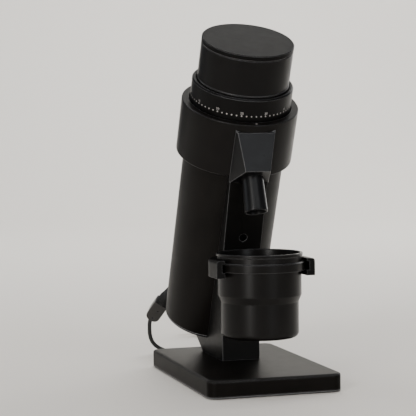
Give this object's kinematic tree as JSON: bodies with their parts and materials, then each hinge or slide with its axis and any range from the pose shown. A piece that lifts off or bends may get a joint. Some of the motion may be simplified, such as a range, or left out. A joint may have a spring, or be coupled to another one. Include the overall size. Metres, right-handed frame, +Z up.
{
  "type": "burr coffee grinder",
  "caption": "Single-dose flat-burr coffee grinder: tilted round body on a bladed stand, grind dial, lidded hopper, chute and spout over a dosing cup held in a fork, mains cord.",
  "frame": {"origin": "centre of the base pad's underside, on the resting surface", "axes": "+Z up, +X to the right, front with the cup towards -Y"},
  "size_m": [0.171, 0.3941, 0.3203],
  "materials": {
    "base_plate": "satin powder coat",
    "base_pad": "matte",
    "base_screws": "satin",
    "stand": "satin powder coat",
    "stand_screws": "black oxide",
    "body_tube": "satin powder coat",
    "bottom_cover": "satin powder coat",
    "bottom_cover_screws": "black oxide",
    "motor_can": "zinc plated",
    "motor_end_bell": "cast",
    "stator": "copper windings on laminations",
    "rotor_core": "laminated",
    "motor_shaft": "ground",
    "motor_plate": "machined",
    "motor_plate_screws": "satin",
    "lower_bearing": "ground steel",
    "upper_bearing": "ground steel",
    "control_board": "solder mask",
    "board_standoffs": "bright",
    "switch_body": "moulded",
    "button_bezel": "moulded",
    "power_button": "semi-gloss",
    "power_inlet": "moulded",
    "grinding_head": "satin powder coat",
    "shaft_seal": "matte",
    "dial_snap_ring": "spring steel",
    "index_mark": "printed white",
    "wave_spring": "spring steel",
    "lower_burr_carrier": "machined",
    "lower_burr": "hardened",
    "burr_nut": "machined",
    "lower_burr_screws": "satin",
    "upper_carrier": "black anodised",
    "upper_burr": "hardened",
    "upper_burr_screws": "satin",
    "carrier_key": "ground",
    "dial_ring": "satin powder coat",
    "dial_dots_print": "printed white",
    "hopper": "satin powder coat",
    "hopper_foot": "satin powder coat",
    "hopper_screws": "satin",
    "lid": "satin powder coat",
    "lid_seal": "matte",
    "chute_block": "satin moulded",
    "chute_flap": "matte",
    "spout": "semi-gloss",
    "fork_holder": "satin moulded",
    "fork_screws": "satin",
    "dosing_cup": "matte coat",
    "plug_elbow": "satin moulded",
    "plug_boot": "matte",
    "plug_screws": "satin",
    "cord": "matte",
    "cord_coil": "matte",
    "mains_plug": "satin moulded",
    "mains_pins": "bright"
  },
  "bodies": {
    "frame": {"base_plate": "base_plate", "base_pad": "base_pad", "base_screws": "base_screws", "stand": "stand", "stand_screws": "stand_screws", "body_tube": "body_tube", "bottom_cover": "bottom_cover", "bottom_cover_screws": "bottom_cover_screws", "motor_can": "motor_can", "motor_end_bell": "motor_end_bell", "stator": "stator", "motor_plate": "motor_plate", "motor_plate_screws": "motor_plate_screws", "lower_bearing": "lower_bearing", "upper_bearing": "upper_bearing", "control_board": "control_board", "board_standoffs": "board_standoffs", "switch_body": "switch_body", "button_bezel": "button_bezel", "power_inlet": "power_inlet", "grinding_head": "grinding_head", "shaft_seal": "shaft_seal", "dial_snap_ring": "dial_snap_ring", "index_mark": "index_mark", "wave_spring": "wave_spring", "chute_block": "chute_block", "chute_flap": "chute_flap", "spout": "spout", "fork_holder": "fork_holder", "fork_screws": "fork_screws", "plug_elbow": "plug_elbow", "plug_boot": "plug_boot", "plug_screws": "plug_screws", "cord": "cord", "cord_coil": "cord_coil", "mains_plug": "mains_plug", "mains_pins": "mains_pins"},
    "rotor": {"rotor_core": "rotor_core", "motor_shaft": "motor_shaft", "lower_burr_carrier": "lower_burr_carrier", "lower_burr": "lower_burr", "burr_nut": "burr_nut", "lower_burr_screws": "lower_burr_screws"},
    "dial": {"dial_ring": "dial_ring", "dial_dots_print": "dial_dots_print"},
    "burr_carrier": {"upper_carrier": "upper_carrier", "upper_burr": "upper_burr", "upper_burr_screws": "upper_burr_screws", "carrier_key": "carrier_key", "hopper": "hopper", "hopper_foot": "hopper_foot", "hopper_screws": "hopper_screws"},
    "lid": {"lid": "lid", "lid_seal": "lid_seal"},
    "power_button": {"power_button": "power_button"},
    "cup": {"dosing_cup": "dosing_cup"}
  },
  "joints": [
    {"name": "burr_spin", "type": "hinge", "parent": "frame", "child": "rotor", "pos_m": [0, 0.1112, 0], "axis": [0, -0.4099, 0.9121], "continuous": true},
    {"name": "dial_turn", "type": "hinge", "parent": "frame", "child": "dial", "pos_m": [0, 0.1112, 0], "axis": [0, -0.4099, 0.9121], "range_deg": [-177.8, 154.5]},
    {"name": "burr_gap_slide", "type": "slide", "parent": "frame", "child": "burr_carrier", "axis": [0, -0.4099, 0.9121], "range_m": [-0.0005, 0.0005]},
    {"name": "lid_lift", "type": "slide", "parent": "burr_carrier", "child": "lid", "axis": [0, -0.4099, 0.9121], "range_m": [0, 0.05]},
    {"name": "power_press", "type": "slide", "parent": "frame", "child": "power_button", "axis": [-1, 0, 0], "range_m": [0, 0.0015], "stiffness_N_per_m": 600, "springref_m": -0.0005},
    {"name": "cup_slide", "type": "slide", "parent": "frame", "child": "cup", "axis": [0, -1, 0], "range_m": [0, 0.08]}
  ],
  "couplings": [
    {"joint": "burr_gap_slide", "follows": "dial_turn", "m_per_rad": -0.00015915}
  ]
}
